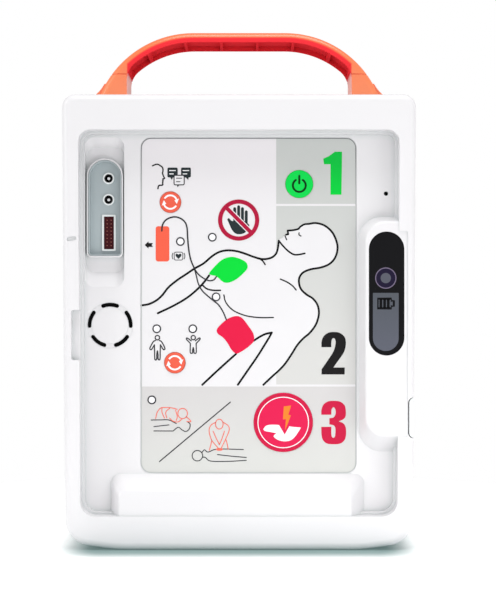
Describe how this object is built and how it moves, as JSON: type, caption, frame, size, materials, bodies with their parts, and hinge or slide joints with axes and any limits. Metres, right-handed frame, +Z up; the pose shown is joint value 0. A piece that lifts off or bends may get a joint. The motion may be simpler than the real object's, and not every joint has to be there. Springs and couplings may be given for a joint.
{
  "type": "automated external defibrillator",
  "caption": "Portable defibrillator with carrying handle, recessed control panel with press keys, electrode socket, status window, speaker and rear battery pack.",
  "frame": {"origin": "centre of the case's footprint on the surface it stands on", "axes": "+Z up, -Y towards the user at the control panel, +X to the user's right"},
  "size_m": [0.2206, 0.088, 0.3269],
  "materials": {
    "white_case": "smooth glossy white moulding",
    "coral_handle": "smooth glossy coral moulding",
    "grey_socket": "satin blue-grey moulding",
    "light_trim": "light grey trim",
    "overlay_film": "printed satin film",
    "clear_lens": "clear lens",
    "smoked_window": "smoked gloss window",
    "green_key": "satin green key",
    "red_key": "satin crimson key",
    "coral_key": "satin coral key",
    "black_plastic": "black moulding",
    "dark_red_plastic": "dark red connector moulding",
    "rubber": "soft black rubber",
    "steel": "plated steel",
    "gold_contact": "plated contact",
    "board_green": "solder mask",
    "component_black": "moulded package",
    "aluminium": "plain aluminium",
    "copper_winding": "varnished winding",
    "ferrite": "ferrite core",
    "capacitor_film": "wrapped film capacitor",
    "battery_plastic": "dark grey moulding",
    "cell_wrap": "cell sleeve",
    "label_film": "blank label film",
    "cloth": "acoustic cloth",
    "wire_red": "silicone wire",
    "latch_grey": "grey slide"
  },
  "bodies": {
    "housing": {"front_case": "white_case", "rear_case": "white_case", "case_gasket": "rubber", "case_screws": "steel", "back_feet": "rubber", "rear_label": "label_film", "handle_grip": "coral_handle", "handle_base_left": "coral_handle", "handle_base_right": "coral_handle", "handle_screws": "steel", "control_overlay": "overlay_film", "indicator_lenses": "clear_lens", "key_switches": "component_black", "keypad_board": "board_green", "indicator_leds": "clear_lens", "board_posts": "gold_contact", "board_screws": "steel", "status_window": "smoked_window", "lcd_module": "light_trim", "status_led": "light_trim", "status_board": "board_green", "electrode_socket": "grey_socket", "socket_bezels": "light_trim", "jack_sleeves": "black_plastic", "jack_pins": "steel", "header_block": "dark_red_plastic", "header_pins": "gold_contact", "electrode_leads": "wire_red", "speaker_frame": "steel", "speaker_cone": "component_black", "speaker_magnet": "ferrite", "speaker_mesh": "cloth", "speaker_leads": "wire_red", "microphone": "aluminium", "microphone_boot": "rubber", "port_hinge_pin": "steel", "data_port": "steel", "main_board": "board_green", "board_components": "component_black", "hv_capacitor": "capacitor_film", "capacitor_clamps": "steel", "transformer_core": "ferrite", "transformer_coil": "copper_winding", "heat_sink": "aluminium", "power_transistors": "component_black", "transfer_relay": "component_black", "coin_cell": "steel", "coin_cell_holder": "black_plastic", "battery_contacts": "gold_contact"},
    "power_button": {"power_button": "green_key"},
    "shock_button": {"shock_button": "red_key"},
    "language_button": {"language_button": "coral_key"},
    "patient_button": {"patient_button": "coral_key"},
    "port_cover": {"port_cover": "light_trim"},
    "battery": {"battery_case": "battery_plastic", "battery_terminals": "gold_contact", "battery_cells": "cell_wrap"},
    "battery_latch": {"battery_latch": "latch_grey"}
  },
  "joints": [
    {"name": "power_press", "type": "slide", "parent": "housing", "child": "power_button", "axis": [0, 1, 0], "range_m": [0, 0.001], "stiffness_N_per_m": 1500, "springref_m": -0.0005},
    {"name": "shock_press", "type": "slide", "parent": "housing", "child": "shock_button", "axis": [0, 1, 0], "range_m": [0, 0.001], "stiffness_N_per_m": 2500, "springref_m": -0.0005},
    {"name": "language_press", "type": "slide", "parent": "housing", "child": "language_button", "axis": [0, 1, 0], "range_m": [0, 0.001], "stiffness_N_per_m": 1500, "springref_m": -0.0005},
    {"name": "patient_press", "type": "slide", "parent": "housing", "child": "patient_button", "axis": [0, 1, 0], "range_m": [0, 0.001], "stiffness_N_per_m": 1500, "springref_m": -0.0005},
    {"name": "port_cover_hinge", "type": "hinge", "parent": "housing", "child": "port_cover", "pos_m": [0.1067, -0.0186, 0.08225], "axis": [0, 0, 1], "range_deg": [0, 100]},
    {"name": "battery_slide", "type": "slide", "parent": "housing", "child": "battery", "axis": [0, 1, 0], "range_m": [0, 0.045]},
    {"name": "latch_slide", "type": "slide", "parent": "housing", "child": "battery_latch", "axis": [0, 0, 1], "range_m": [0, 0.005], "stiffness_N_per_m": 300, "springref_m": -0.002}
  ]
}
